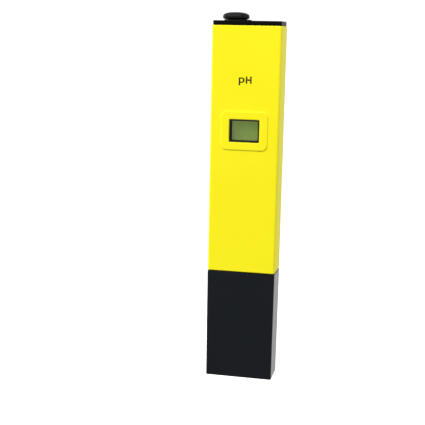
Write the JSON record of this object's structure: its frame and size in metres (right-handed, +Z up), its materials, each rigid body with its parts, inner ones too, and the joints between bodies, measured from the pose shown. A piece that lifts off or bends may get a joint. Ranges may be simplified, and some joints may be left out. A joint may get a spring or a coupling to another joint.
{
  "type": "digital ph meter",
  "caption": "Slim pocket pH tester: rectangular sleeve with a small display in a raised pad, pull-off probe cap, pull-out battery tray with a slide switch.",
  "frame": {"origin": "centre of the probe cap's flat base, which the meter stands on", "axes": "+Z up along the meter, -Y out of the display face, +X to the display's right"},
  "size_m": [0.029, 0.0147, 0.155],
  "materials": {
    "case": "satin moulded ABS",
    "black_housing": "satin moulded ABS",
    "black_gloss": "polished moulded ABS",
    "knob": "satin",
    "clear_pane": "clear acrylic",
    "display": "grey-green liquid crystal glass",
    "foil": "brushed reflector",
    "elastomer": "layered conductive rubber",
    "board": "solder-masked laminate",
    "chip": "moulded resin",
    "trimmer": "moulded",
    "brass": "turned",
    "spring_metal": "nickel-plated spring bronze",
    "steel": "nickel-plated",
    "silver": "drawn silver wire",
    "ceramic": "porous",
    "glass": "clear electrode glass",
    "rubber": "moulded",
    "lead": "insulated wire",
    "switch_body": "nylon"
  },
  "bodies": {
    "case": {"case_sleeve": "case", "lcd_holder": "black_housing", "lcd_window_pane": "clear_pane", "lcd_panel": "display", "lcd_reflector": "foil", "contact_strip_upper": "elastomer", "contact_strip_lower": "elastomer", "circuit_board": "board", "converter_chip": "chip", "amplifier_chip": "chip", "capacitor_filter": "chip", "capacitor_supply": "chip", "resistor_feedback": "chip", "resistor_divider": "chip", "resistor_bias": "chip", "board_finger_left": "spring_metal", "board_finger_right": "spring_metal", "board_screw_left": "steel", "board_screw_right": "steel", "trimmer_offset_body": "trimmer", "trimmer_slope_body": "trimmer", "probe_block": "black_housing", "electrode_body": "black_housing", "electrode_tip_plug": "black_housing", "reference_junction": "ceramic", "glass_electrode": "glass", "electrode_seal": "rubber", "silver_wire": "silver", "reference_wire": "silver", "lead_measuring": "lead", "lead_reference": "lead"},
    "tray": {"battery_tray": "black_housing", "contact_positive": "spring_metal", "contact_negative": "spring_metal", "contact_switched": "spring_metal", "button_cell_1": "steel", "button_cell_2": "steel", "button_cell_3": "steel", "button_cell_4": "steel", "cell_spring": "spring_metal", "switch_housing": "switch_body"},
    "switch": {"switch_knob": "knob", "switch_slider": "switch_body"},
    "cap": {"probe_cap": "black_gloss"},
    "offset_screw": {"trimmer_offset_screw": "brass"},
    "slope_screw": {"trimmer_slope_screw": "brass"}
  },
  "joints": [
    {"name": "tray_slide", "type": "slide", "parent": "case", "child": "tray", "axis": [0, 0, 1], "range_m": [0, 0.024]},
    {"name": "switch_slide", "type": "slide", "parent": "tray", "child": "switch", "axis": [1, 0, 0], "range_m": [0, 0.0015]},
    {"name": "cap_slide", "type": "slide", "parent": "case", "child": "cap", "axis": [0, 0, -1], "range_m": [0, 0.042]},
    {"name": "offset_screw_turn", "type": "hinge", "parent": "case", "child": "offset_screw", "pos_m": [-0.0045, 0.0041, 0.088], "axis": [0, 1, 0], "range_deg": [-130, 130]},
    {"name": "slope_screw_turn", "type": "hinge", "parent": "case", "child": "slope_screw", "pos_m": [0.0045, 0.0041, 0.088], "axis": [0, 1, 0], "range_deg": [-130, 130]}
  ]
}
